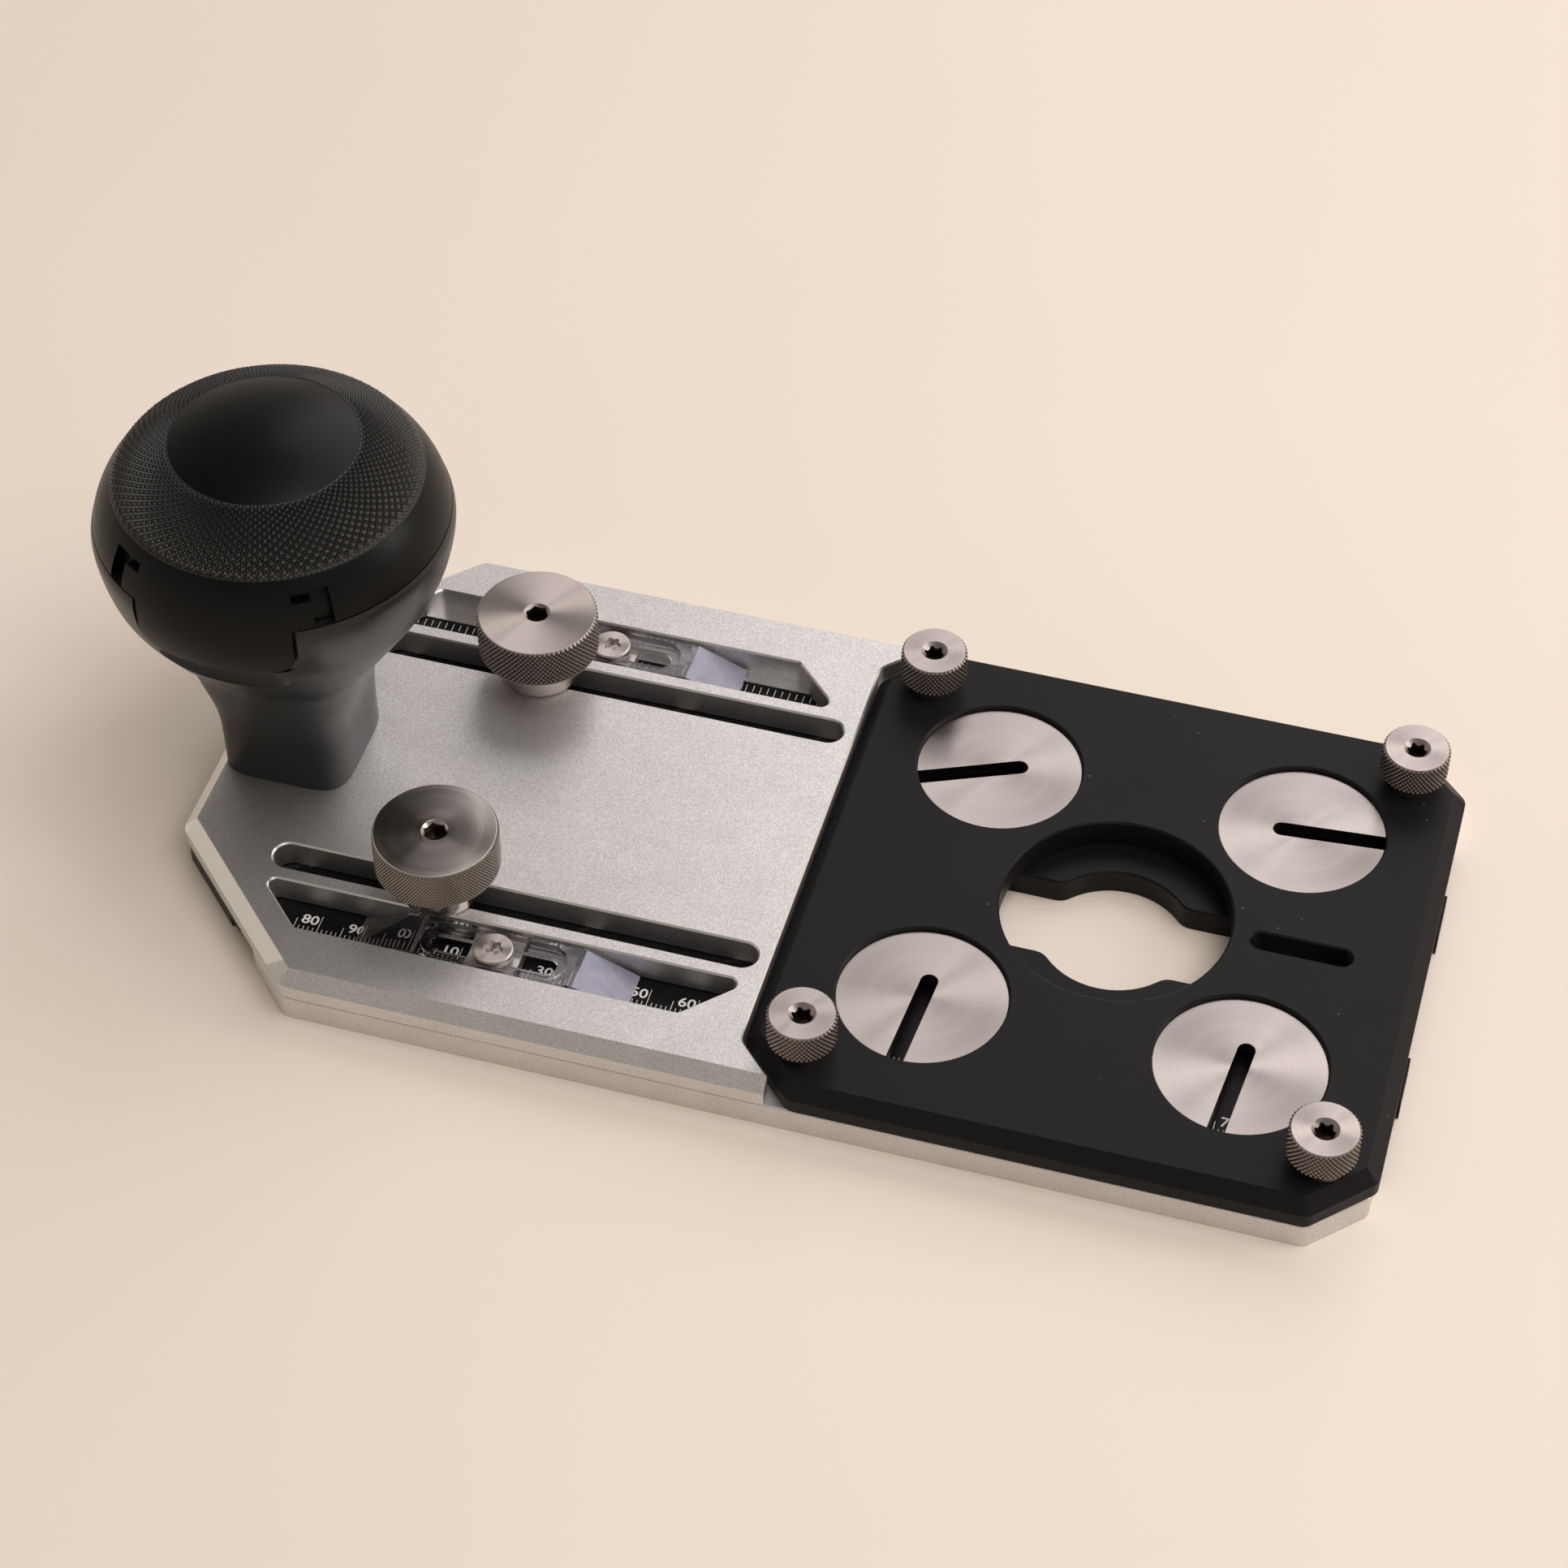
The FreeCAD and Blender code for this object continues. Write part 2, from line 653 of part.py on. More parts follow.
def dome(inset, low=parting_height):
    """Lid form above the level low, inset from its outer face: two tangent arcs and a small flat."""
    reach = ball_radius - side_radius
    height = handle_top - widest_height
    crown = (reach ** 2 + height ** 2 - side_radius ** 2) / (2 * (height - side_radius))
    lean = math.atan2(crown - height, reach)
    side, crown, top = side_radius - inset, crown - inset, handle_top - inset
    start = math.asin((low - widest_height) / side)
    end = math.acos(crown_flat / crown)

    def on_side(angle):
        return V(reach + side * math.cos(angle), 0, widest_height + side * math.sin(angle))

    def on_crown(angle):
        return V(crown * math.cos(angle), 0, top - crown + crown * math.sin(angle))

    rim, crest = on_side(start), on_crown(end)
    over, under = V(0, 0, crest.z), V(0, 0, low)
    edges = [Part.Arc(rim, on_side((start + lean) / 2), on_side(lean)).toShape(),
             Part.Arc(on_crown(lean), on_crown((lean + end) / 2), crest).toShape(),
             Part.makeLine(crest, over), Part.makeLine(over, under), Part.makeLine(under, rim)]
    solid = Part.Face(Part.Wire(edges)).revolve(V(0, 0, 0), V(0, 0, 1), 360)
    solid.translate(V(handle_x, 0, 0))
    return solid


def tab_prism(grow, y_back):
    """Front view of the latch tab, pushed through the ball's front wall."""
    half = tab_half_width + grow
    low = tab_bottom - grow
    shape = box(handle_x - half, handle_x + half, -ball_radius - 2, y_back, low, parting_height + tab_root)
    corners = []
    for edge in shape.Edges:
        first, last = edge.Vertexes[0].Point, edge.Vertexes[-1].Point
        if abs(first.y - last.y) > 1 and first.z < low + 0.1:
            corners.append(edge)
    return shape.makeFillet(tab_corner, corners)


def barrel(x0, x1, radius):
    return Part.makeCylinder(radius, x1 - x0, V(handle_x + x0, hinge_y, hinge_z), V(1, 0, 0))


def side_prism(points, x0, x1):
    """Prism along X from (y, z) points."""
    wire = Part.makePolygon([V(handle_x + x0, y, z) for y, z in points + points[:1]])
    return Part.Face(wire).extrude(V(x1 - x0, 0, 0))


def hinge_leaf():
    out = hinge_y + barrel_radius
    top = parting_height + leaf_rise
    points = [(leaf_back, hinge_z), (out, hinge_z), (out, parting_height), (rim_radius - 0.8, top),
              (leaf_back, top)]
    return side_prism(points, -barrel_half, barrel_half)


def hinge_ears():
    low, high = hinge_z - barrel_radius, hinge_z + barrel_radius
    ears = []
    for s in (-1, 1):
        x0, x1 = sorted((s * (barrel_half + barrel_gap), s * barrel_total_half))
        web = side_prism([(ear_root, low - 4.0), (hinge_y, low), (hinge_y, high), (ear_root, high)], x0, x1)
        ears += [web, barrel(x0, x1, barrel_radius)]
    return ears


def scoop():
    rod = Part.makeCylinder(scoop_radius, 2 * scoop_half_length,
                            V(handle_x - scoop_half_length, scoop_centre_y, scoop_centre_z), V(1, 0, 0))
    ends = [Part.makeSphere(scoop_radius, V(handle_x + s * scoop_half_length, scoop_centre_y, scoop_centre_z))
            for s in (-1, 1)]
    return rod.fuse(ends)


def make_handle_body():
    shape = lower_form()
    trim = parting_height - parting_gap / 2
    shape = shape.cut(box(handle_x - 50, handle_x + 50, -50, 50, trim, trim + 10))
    shape = shape.cut(cylinder(bowl_radius, trim - bowl_floor + 1, handle_x, 0, bowl_floor))
    shape = shape.cut(tab_prism(tab_gap, -tab_back + parting_gap))
    shape = shape.cut(scoop())
    room = barrel_half + barrel_gap
    shape = shape.cut(barrel(-room, room, barrel_radius + barrel_gap))
    shape = shape.cut(box(handle_x - room, handle_x + room, leaf_back - barrel_gap, hinge_y + barrel_radius + 1,
                          hinge_z, parting_height + 1))
    shape = shape.fuse(hinge_ears()).removeSplitter()
    shape = shape.cut(barrel(-barrel_total_half - 1, barrel_total_half + 1, pin_radius + press_gap))
    for s in (-1, 1):
        x = handle_x + s * handle_screw_offset
        shape = shape.cut(cylinder(insert_radius + insert_fit, insert_length, x, 0, plate_top))
        shape = shape.cut(cylinder(handle_screw_radius + clearance_fit, handle_screw_length + 1 - plate_thickness,
                                   x, 0, plate_top))
    return shape


def slit_blocks():
    """L-shaped slits each side of the latch tab."""
    low = parting_height - 1
    blocks = []
    for s in (-1, 1):
        outer = ring_sector(s * notch_angle_bar, s * notch_angle_outer, low, parting_height + notch_height)
        bar = ring_sector(s * notch_angle_inner, s * notch_angle_bar,
                          parting_height + notch_height - notch_bar_height, parting_height + notch_height)
        blocks += [outer, bar]
    return blocks


def ring_sector(angle_a, angle_b, z0, z1):
    """Wall sector between two angles from the front, notch_depth into the cap's surface."""
    a, b = sorted((angle_a, angle_b))
    wedge = Part.makeCylinder(ball_radius + 2, z1 - z0, V(handle_x, 0, z0), V(0, 0, 1), b - a)
    wedge.rotate(V(handle_x, 0, 0), V(0, 0, 1), a - 90)
    return wedge


def make_handle_cap():
    trim = parting_height + parting_gap / 2
    latch = tab_prism(0, -tab_back)
    upper = box(handle_x - 50, handle_x + 50, -50, 50, trim, handle_top + 1)
    shape = dome(0, tab_bottom - tab_corner).common(upper.fuse(latch))
    shape = shape.cut(dome(cap_wall).cut(latch))
    core = dome(notch_depth)
    for block in slit_blocks():
        shape = shape.cut(block.cut(core))
    shape = shape.fuse([hinge_leaf(), barrel(-barrel_half, barrel_half, barrel_radius)])
    shape = shape.removeSplitter()
    return shape.cut(barrel(-barrel_half - 1, barrel_half + 1, pin_radius + pin_fit))


def make_hinge_pin():
    return barrel(-barrel_total_half, barrel_total_half, pin_radius)


def make_handle_screws():
    screws = []
    for s in (-1, 1):
        x = handle_x + s * handle_screw_offset
        z = rail_height + head_inset
        depth = handle_screw_head_radius - handle_screw_radius
        tip = z + handle_screw_length
        screw = turned([(0, z), (handle_screw_head_radius, z), (handle_screw_radius, z + depth),
                        (handle_screw_radius, tip - 0.5), (handle_screw_radius - 0.5, tip), (0, tip)], x, 0)
        screws.append(screw.cut(hex_prism(3.0, 1.9, x, 0, z - 0.1)))
    return Part.makeCompound(screws)


def make_handle_inserts():
    inserts = []
    for s in (-1, 1):
        x = handle_x + s * handle_screw_offset
        tube = cylinder(insert_radius, insert_length - 0.05, x, 0, plate_top)
        inserts.append(tube.cut(cylinder(handle_screw_radius + press_gap, insert_length + 2, x, 0, plate_top - 1)))
    return Part.makeCompound(inserts)


# ---------------------------------------------------------------- write every sub-part
def main():
    os.makedirs("parts", exist_ok=True)
    parts = {"top_plate": make_top_plate(), "router_plate": make_router_plate(), "slide": make_slide(),
             "handle_body": make_handle_body(), "handle_cap": make_handle_cap(), "cap_hinge_pin": make_hinge_pin(),
             "handle_screws": make_handle_screws(), "handle_inserts": make_handle_inserts()}
    for name in disc_angles:
        parts["disc_" + name] = make_disc(name)
        parts["disc_ring_" + name] = make_retaining_ring(name)
        parts["thumb_screw_" + name] = make_thumb_screw(name)
    for name, side in ROWS.items():
        parts[name + "_rail"] = make_rail(side)
        parts[name + "_rail_screws"] = make_rail_screws(side)
        parts[name + "_clamp_knob"] = make_clamp_knob(side)
        parts[name + "_clamp_stud"] = make_clamp_stud(side)
        parts[name + "_cursor"] = make_cursor(side)
        parts[name + "_cursor_screw"] = make_cursor_screw(side)
    for name, shape in parts.items():
        bounds = shape.BoundBox
        print("%-28s solids %d volume %9.1f valid %s  x %.2f..%.2f y %.2f..%.2f z %.2f..%.2f" % (
            name, len(shape.Solids), shape.Volume, shape.isValid(), bounds.XMin, bounds.XMax, bounds.YMin,
            bounds.YMax, bounds.ZMin, bounds.ZMax))
        shape.exportStep("parts/" + name + ".step")


main()
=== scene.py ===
"""Compact router table: finishes, scale marks and knurling of a two-plate base with a ball handle.

Frame: metres, +Z up, the object rests on z = 0.  +X runs from the handle to the router plate and
+Y runs away from the front rail.  Sizes are written in millimetres and turned to metres by mm.
"""
import bpy
import bmesh
import json
import math
from mathutils import Matrix, Vector


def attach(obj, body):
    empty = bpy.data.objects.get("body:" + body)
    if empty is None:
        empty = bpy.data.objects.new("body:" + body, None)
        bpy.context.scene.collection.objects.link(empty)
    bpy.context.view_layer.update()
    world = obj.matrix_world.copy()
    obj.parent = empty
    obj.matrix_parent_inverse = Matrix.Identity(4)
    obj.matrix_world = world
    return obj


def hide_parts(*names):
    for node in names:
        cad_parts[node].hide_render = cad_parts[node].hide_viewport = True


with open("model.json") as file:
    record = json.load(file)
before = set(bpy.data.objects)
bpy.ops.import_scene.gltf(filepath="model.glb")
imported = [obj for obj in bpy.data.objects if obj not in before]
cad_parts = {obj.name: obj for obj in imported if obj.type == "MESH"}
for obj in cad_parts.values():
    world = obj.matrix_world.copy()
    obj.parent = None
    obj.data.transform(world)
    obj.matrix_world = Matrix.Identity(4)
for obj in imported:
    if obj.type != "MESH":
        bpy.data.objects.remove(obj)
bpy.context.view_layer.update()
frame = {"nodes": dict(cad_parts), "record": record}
mm = 0.001

# ---------------------------------------------------------------- top plate and rails
# The top plate and both rails are milled from aluminium bar, bead blasted and clear anodised.
# Rail screws from below hold them together.  Only the small broken edges round slots and windows
# were cut after the blasting, and their lighter colour is partly that bare cut metal and partly a
# painted highlight; the wide outer chamfers were blasted hardest and glitter most.
blast_grain = 0.28           # real bead marks are near 0.1 mm: drawn coarser so that they show
blast_patch = 9.0            # slow change of tone over a plate
blast_depth = 0.05
outer_chamfer_row = 58.5     # past this distance from the middle, 45 degree faces are blasted too
chamfer_lean = math.sqrt(0.5)    # upward part of a 45 degree face's normal
lean_slack = 0.06


def shade(code):
    """sRGB hex colour as the linear colour a shader takes."""
    channels = [int(code[i:i + 2], 16) / 255 for i in (1, 3, 5)]
    return [c / 12.92 if c <= 0.04045 else ((c + 0.055) / 1.055) ** 2.4 for c in channels] + [1.0]


def add(tree, kind, settings=None, inputs=None):
    """Adds a node with its settings; each input is a value, or an output to link from."""
    node = tree.nodes.new(kind)
    for name, value in (settings or {}).items():
        setattr(node, name, value)
    for name, value in (inputs or {}).items():
        if isinstance(value, bpy.types.NodeSocket):
            tree.links.new(value, node.inputs[name])
        else:
            node.inputs[name].default_value = value
    return node


def start_finish(name, uniform):
    """New material with the shader values that are the same all over."""
    material = bpy.data.materials.new(name)
    material.use_nodes = True
    tree = material.node_tree
    shader = tree.nodes["Principled BSDF"]
    for socket, value in uniform.items():
        shader.inputs[socket].default_value = value
    return material, tree, shader


def dress(finish, slot, only=None):
    """Gives a finish to every construction node of a material slot, or to those named."""
    for row in frame["record"]["subparts"]:
        if row["material_slot"] == slot and (only is None or row["node"] in only):
            for place in frame["nodes"][row["node"]].material_slots:
                place.material = finish


def blasted_aluminium():
    """Clear anodised, bead blasted aluminium: a soft grey metal with a fine sparkle."""
    material, tree, shader = start_finish("aluminium_bead_blasted", {"Metallic": 1.0})
    where = add(tree, "ShaderNodeTexCoord").outputs["Object"]
    grain = add(tree, "ShaderNodeTexNoise", None,
                {"Vector": where, "Scale": 1 / (blast_grain * mm), "Detail": 2.0, "Roughness": 0.7})
    patch = add(tree, "ShaderNodeTexNoise", None, {"Vector": where, "Scale": 1 / (blast_patch * mm)})
    sparkle = add(tree, "ShaderNodeMapRange", None,
                  {"Value": grain.outputs["Fac"], "From Min": 0.36, "From Max": 0.66})
    body = add(tree, "ShaderNodeMix", {"data_type": "RGBA"},
               {0: sparkle.outputs[0], 6: shade("#c9c7c7"), 7: shade("#f1f0f0")})
    tone = add(tree, "ShaderNodeMix", {"data_type": "RGBA", "blend_type": "MULTIPLY"},
               {0: patch.outputs["Fac"], 6: body.outputs[2], 7: shade("#ecebea")})
    face = add(tree, "ShaderNodeSeparateXYZ", None,
               {0: add(tree, "ShaderNodeNewGeometry").outputs["True Normal"]})
    slanted = add(tree, "ShaderNodeMath", {"operation": "COMPARE"},
                  {0: face.outputs["Z"], 1: chamfer_lean, 2: lean_slack})
    place = add(tree, "ShaderNodeSeparateXYZ", None, {0: where})
    row = add(tree, "ShaderNodeMath", {"operation": "ABSOLUTE"}, {0: place.outputs["Y"]})
    inner = add(tree, "ShaderNodeMath", {"operation": "LESS_THAN"},
                {0: row.outputs[0], 1: outer_chamfer_row * mm})
    broken = add(tree, "ShaderNodeMath", {"operation": "MULTIPLY"},
                 {0: slanted.outputs[0], 1: inner.outputs[0]})
    chamfer = add(tree, "ShaderNodeMath", {"operation": "SUBTRACT"},
                  {0: slanted.outputs[0], 1: broken.outputs[0]})
    rough_cut = add(tree, "ShaderNodeMapRange", None,
                    {"Value": chamfer.outputs[0], "To Min": 0.22, "To Max": 0.75})
    # the broken edges' lighter colour: partly bare cut metal, partly a painted highlight
    colour = add(tree, "ShaderNodeMix", {"data_type": "RGBA"},
                 {0: broken.outputs[0], 6: tone.outputs[2], 7: shade("#f4f1ee")})
    satin = add(tree, "ShaderNodeMapRange", None,
                {"Value": grain.outputs["Fac"], "To Min": 0.50, "To Max": 0.40})
    cut = add(tree, "ShaderNodeMix", None, {0: broken.outputs[0], 2: satin.outputs[0], 3: 0.3})
    pits = add(tree, "ShaderNodeBump", None,
               {"Strength": rough_cut.outputs[0], "Distance": blast_depth * mm,
                "Height": grain.outputs["Fac"]})
    tree.links.new(colour.outputs[2], shader.inputs["Base Color"])
    tree.links.new(cut.outputs[0], shader.inputs["Roughness"])
    tree.links.new(pits.outputs[0], shader.inputs["Normal"])
    return material


dress(blasted_aluminium(), "silver_anodised")

# ---------------------------------------------------------------- router plate
# The router plate is aluminium plate too, milled, lightly blasted and black anodised.
# It is almost even black with a satin sheen, and a few specks of dust lie on it.
plate_grain = 0.5            # finer in reality, drawn as coarse as it must be to show
plate_grain_depth = 0.03
plate_patch = 25.0
satin_spread = 0.06
dust_pitch = 4.5
dust_size = 0.14


def black_anodised(name, dark, light, roughness, dusty):
    """Black anodised aluminium: dyed oxide over a fine matt grain, with or without dust."""
    material, tree, shader = start_finish(name, {"Metallic": 0.0, "Specular IOR Level": 0.14})
    where = add(tree, "ShaderNodeTexCoord").outputs["Object"]
    grain = add(tree, "ShaderNodeTexNoise", None,
                {"Vector": where, "Scale": 1 / (plate_grain * mm), "Detail": 2.0})
    cloud = add(tree, "ShaderNodeTexNoise", None,
                {"Vector": where, "Scale": 1 / (plate_patch * mm), "Detail": 3.0})
    body = add(tree, "ShaderNodeMix", {"data_type": "RGBA"},
               {0: cloud.outputs["Fac"], 6: shade(dark), 7: shade(light)})
    flecks = add(tree, "ShaderNodeTexVoronoi", None, {"Vector": where, "Scale": 1 / (dust_pitch * mm)})
    speck = add(tree, "ShaderNodeMath", {"operation": "LESS_THAN"},
                {0: flecks.outputs["Distance"], 1: dusty * dust_size / dust_pitch})
    colour = add(tree, "ShaderNodeMix", {"data_type": "RGBA"},
                 {0: speck.outputs[0], 6: body.outputs[2], 7: shade("#8d867c")})
    satin = add(tree, "ShaderNodeMapRange", None,
                {"Value": grain.outputs["Fac"], "To Min": roughness + satin_spread,
                 "To Max": roughness - satin_spread})
    pits = add(tree, "ShaderNodeBump", None,
               {"Strength": 0.18, "Distance": plate_grain_depth * mm, "Height": grain.outputs["Fac"]})
    tree.links.new(colour.outputs[2], shader.inputs["Base Color"])
    tree.links.new(satin.outputs[0], shader.inputs["Roughness"])
    tree.links.new(pits.outputs[0], shader.inputs["Normal"])
    return material


dress(black_anodised("aluminium_black_anodised", "#121012", "#191719", 0.42, 1.0), "black_anodised",
      ["router_plate"])

# ---------------------------------------------------------------- slide and its scales
# The slide is a long black anodised plate that runs between the rails.  Its scales are laser
# marked: millimetres along the front edge with a figure every ten, and sixteenths of an inch
# along the back edge.  The marks are bare oxide, pale and flush.
mark_height = 5.87           # the slide's face is at 5.85
zero_mark = -61.9            # where the figure 0 stands at rest
first_mark = -35             # the slide's corners are cut away before this
last_mark = 190
front_edge = -46.2
tick_lengths = {10: 5.4, 5: 3.8, 1: 2.1}
tick_width = 0.12
figure_foot = -43.3
figure_height = 2.3
figure_gap = 0.4             # from a figure to its long tick
figure_stretch = 1.12        # figures are set a little wide
figure_weight = 0.05         # added round every stroke
figure_share = 0.70          # of the font's size, that a figure stands high
figure_cycle = 100           # the figures start again at every hundred
mark_grain = 0.3
inch_pitch = 25.4 / 16
back_edge = 46.2
inch_lengths = (3.6, 1.8)


def mark(mesh, low_x, high_x, low_y, high_y):
    """One flat rectangular mark on the slide's face."""
    corners = [(low_x, low_y), (high_x, low_y), (high_x, high_y), (low_x, high_y)]
    mesh.faces.new([mesh.verts.new((x * mm, y * mm, mark_height * mm)) for x, y in corners])


def figures(mesh, text, right_x, foot_y):
    """Figures set flush right beside their tick."""
    curve = bpy.data.curves.new("figure", "FONT")
    curve.body = text
    curve.align_x = "RIGHT"
    curve.size = figure_height / figure_share * mm
    curve.offset = figure_weight * mm
    curve.resolution_u = 4
    holder = bpy.data.objects.new("figure", curve)
    flat = bpy.data.meshes.new_from_object(holder)
    flat.transform(Matrix.Translation((right_x * mm, foot_y * mm, mark_height * mm))
                   @ Matrix.Diagonal((figure_stretch, 1.0, 0.0, 1.0)))
    mesh.from_mesh(flat)
    bpy.data.objects.remove(holder)
    bpy.data.curves.remove(curve)
    bpy.data.meshes.remove(flat)


def make_piece(name, mesh, finish, smooth_below=None):
    """Turns a bmesh into an object in the scene; faces that meet flatter than an angle blend."""
    data = bpy.data.meshes.new(name)
    mesh.to_mesh(data)
    mesh.free()
    data.materials.append(finish)
    if smooth_below is not None:
        data.polygons.foreach_set("use_smooth", [True] * len(data.polygons))
        data.set_sharp_from_angle(angle=math.radians(smooth_below))
    piece = bpy.data.objects.new(name, data)
    bpy.context.scene.collection.objects.link(piece)
    return piece


def make_scales():
    """Both scales as one flat piece that moves with the slide."""
    mesh = bmesh.new()
    for step in range(first_mark, last_mark + 1):
        x = zero_mark + step
        length = next(tick_lengths[unit] for unit in (10, 5, 1) if step % unit == 0)
        mark(mesh, x - tick_width / 2, x + tick_width / 2, front_edge, front_edge + length)
        if step % 10 == 0:
            figures(mesh, str(step % figure_cycle), x - figure_gap, figure_foot)
    count = int((last_mark - first_mark) / inch_pitch)
    for step in range(count + 1):
        x = zero_mark + first_mark + step * inch_pitch
        mark(mesh, x - tick_width / 2, x + tick_width / 2, back_edge - inch_lengths[step % 2], back_edge)
    return mesh


def laser_mark():
    """Laser-cleared oxide: chalky off-white, slightly broken where the grain shows through."""
    material, tree, shader = start_finish("oxide_laser_marked", {"Roughness": 0.7})
    where = add(tree, "ShaderNodeTexCoord").outputs["Object"]
    grain = add(tree, "ShaderNodeTexNoise", None, {"Vector": where, "Scale": 1 / (mark_grain * mm)})
    colour = add(tree, "ShaderNodeMix", {"data_type": "RGBA"},
                 {0: grain.outputs["Fac"], 6: shade("#e6e3df"), 7: shade("#fbfaf7")})
    tree.links.new(colour.outputs[2], shader.inputs["Base Color"])
    return material


dress(black_anodised("aluminium_black_slide", "#0e0d0e", "#161416", 0.36, 0.7), "black_anodised",
      ["slide"])
scales = make_piece("slide_scales", make_scales(), laser_mark())
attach(scales, "slide")

# ---------------------------------------------------------------- slotted discs, rings and screws
# The discs, their rings and all small screws are stainless steel, faced on a lathe.  The tool
# leaves fine circles, so light lies on each face in wedges that fan out from the middle.
face_line = 0.25             # real turning lines are near 0.1 mm apart: drawn coarser
face_line_depth = 0.02
face_band = 3.0              # broad rings where the tool wore or chattered
polish_spread = 0.06
eased_edge = 0.18            # every turned edge is broken by this radius
light_streak = 0.93          # how far the lines draw the light out
screw_width = 8.2            # over the largest small screw's head
disc_width = 38.4


def turned_steel(name, width, roughness, dark, light):
    """Faced stainless steel: warm grey, circular lines, wedge-shaped light."""
    material, tree, shader = start_finish(name, {"Metallic": 1.0, "Anisotropic": light_streak})
    across = add(tree, "ShaderNodeTexCoord").outputs["Generated"]
    middle = add(tree, "ShaderNodeVectorMath", {"operation": "SUBTRACT"}, {0: across, 1: (0.5, 0.5, 0.0)})
    level = add(tree, "ShaderNodeVectorMath", {"operation": "MULTIPLY"},
                {0: middle.outputs[0], 1: (1.0, 1.0, 0.0)})
    reach = add(tree, "ShaderNodeVectorMath", {"operation": "LENGTH"}, {0: level.outputs[0]})
    lines = add(tree, "ShaderNodeTexNoise", {"noise_dimensions": "1D"},
                {"W": reach.outputs["Value"], "Scale": width / face_line, "Detail": 2.0})
    broad = add(tree, "ShaderNodeTexNoise", {"noise_dimensions": "1D"},
                {"W": reach.outputs["Value"], "Scale": width / face_band})
    colour = add(tree, "ShaderNodeMix", {"data_type": "RGBA"},
                 {0: lines.outputs["Fac"], 6: shade(dark), 7: shade(light)})
    satin = add(tree, "ShaderNodeMapRange", None,
                {"Value": broad.outputs["Fac"], "To Min": roughness - polish_spread,
                 "To Max": roughness + polish_spread})
    eased = add(tree, "ShaderNodeBevel", {"samples": 4}, {"Radius": eased_edge * mm})
    ridges = add(tree, "ShaderNodeBump", None,
                 {"Strength": 0.03, "Distance": face_line_depth * mm, "Height": lines.outputs["Fac"],
                  "Normal": eased.outputs[0]})
    circles = add(tree, "ShaderNodeTangent", {"direction_type": "RADIAL", "axis": "Z"})
    tree.links.new(colour.outputs[2], shader.inputs["Base Color"])
    tree.links.new(satin.outputs[0], shader.inputs["Roughness"])
    tree.links.new(ridges.outputs[0], shader.inputs["Normal"])
    tree.links.new(circles.outputs[0], shader.inputs["Tangent"])
    return material


dress(turned_steel("steel_small_screws", screw_width, 0.34, "#b0a8a5", "#c9c1be"), "steel")
dress(turned_steel("steel_faced_discs", disc_width, 0.36, "#a39b99", "#bab2b0"), "steel",
      ["disc_back_left", "disc_back_right", "disc_front_left", "disc_front_right"])

# ---------------------------------------------------------------- thumb screws
# Four thumb screws at the corners clamp the discs.  Each is turned from one stainless bar: a
# plain collar, a head with a cut diamond knurl, a small chamfer and a six-lobed recess.
thumb_places = {"back_left": (22.2, 51.3), "back_right": (124.8, 51.3),
                "front_left": (22.2, -51.3), "front_right": (124.8, -51.3)}
# radius and height of each corner, from the shank's tip up to the foot of the knurl
thumb_profile = [(2.0, 1.0), (2.5, 1.5), (2.5, 12.25), (5.3, 12.25), (5.3, 14.45), (6.65, 15.45)]
thumb_radius = 7.05
thumb_face = 6.5
thumb_knurl = (15.85, 21.75)     # from its foot to its top
thumb_knurl_depth = 0.3
thumb_top = 22.3
thumb_diamonds = 46
diamond_height = 1.3
diamond_steps = 4            # mesh columns, and rows, for each diamond
diamond_blunt = 1.25         # above 1 the pyramids end in a flat
blend_angle = 28             # faces that meet flatter than this, in degrees, look smooth
lobe_radius = 2.1
lobe_middle = 0.76           # each lobe's centre, as a share of its reach
lobe_core = 0.8              # the core between the lobes, the same way
mouth_radius = 2.75
recess_depth = 2.8


def lobed(angle):
    """Radius of the six-lobed recess at an angle."""
    turn = (angle + math.pi / 6) % (math.pi / 3) - math.pi / 6
    core = lobe_core * lobe_radius
    side = lobe_middle * lobe_radius * math.sin(turn)
    room = ((1 - lobe_middle) * lobe_radius) ** 2 - side ** 2
    return max(core, lobe_middle * lobe_radius * math.cos(turn) + math.sqrt(room)) if room > 0 else core


def ridge(turns):
    """0 in the bottom of a groove, 1 half way to the next."""
    return 1 - abs(2 * (turns % 1) - 1)


def knurl_rings(radius, depth, diamonds, tall, low, high, columns):
    """Rings of a diamond knurl: two families of crossing grooves leave blunt pyramids."""
    rings = []
    count = round((high - low) / tall * diamond_steps)
    for row in range(count + 1):
        up = row / diamond_steps
        radii = []
        for column in range(columns):
            round_way = column * diamonds / columns
            crest = min(ridge(round_way + up), ridge(round_way - up))
            radii.append(radius - depth * (1 - min(1, diamond_blunt * crest)))
        grooves = [(radius - reached) / depth for reached in radii]
        rings.append((radii, [low + (high - low) * row / count] * columns, grooves))
    return rings


def plain_rings(profile, columns):
    """Rings of a plain turned part of the profile."""
    return [([radius] * columns, [height] * columns, [0.0] * columns) for radius, height in profile]


def recess_rings(wall, top, columns):
    """Rings of a bevelled recess that is sunk from the top face."""
    walls = [wall(2 * math.pi * column / columns) for column in range(columns)]
    bevel = [top - (mouth_radius - radius) for radius in walls]
    ungrooved = [0.0] * columns
    return [([mouth_radius] * columns, [top] * columns, ungrooved), (walls, bevel, ungrooved),
            (walls, [top - recess_depth] * columns, [1.0] * columns)]


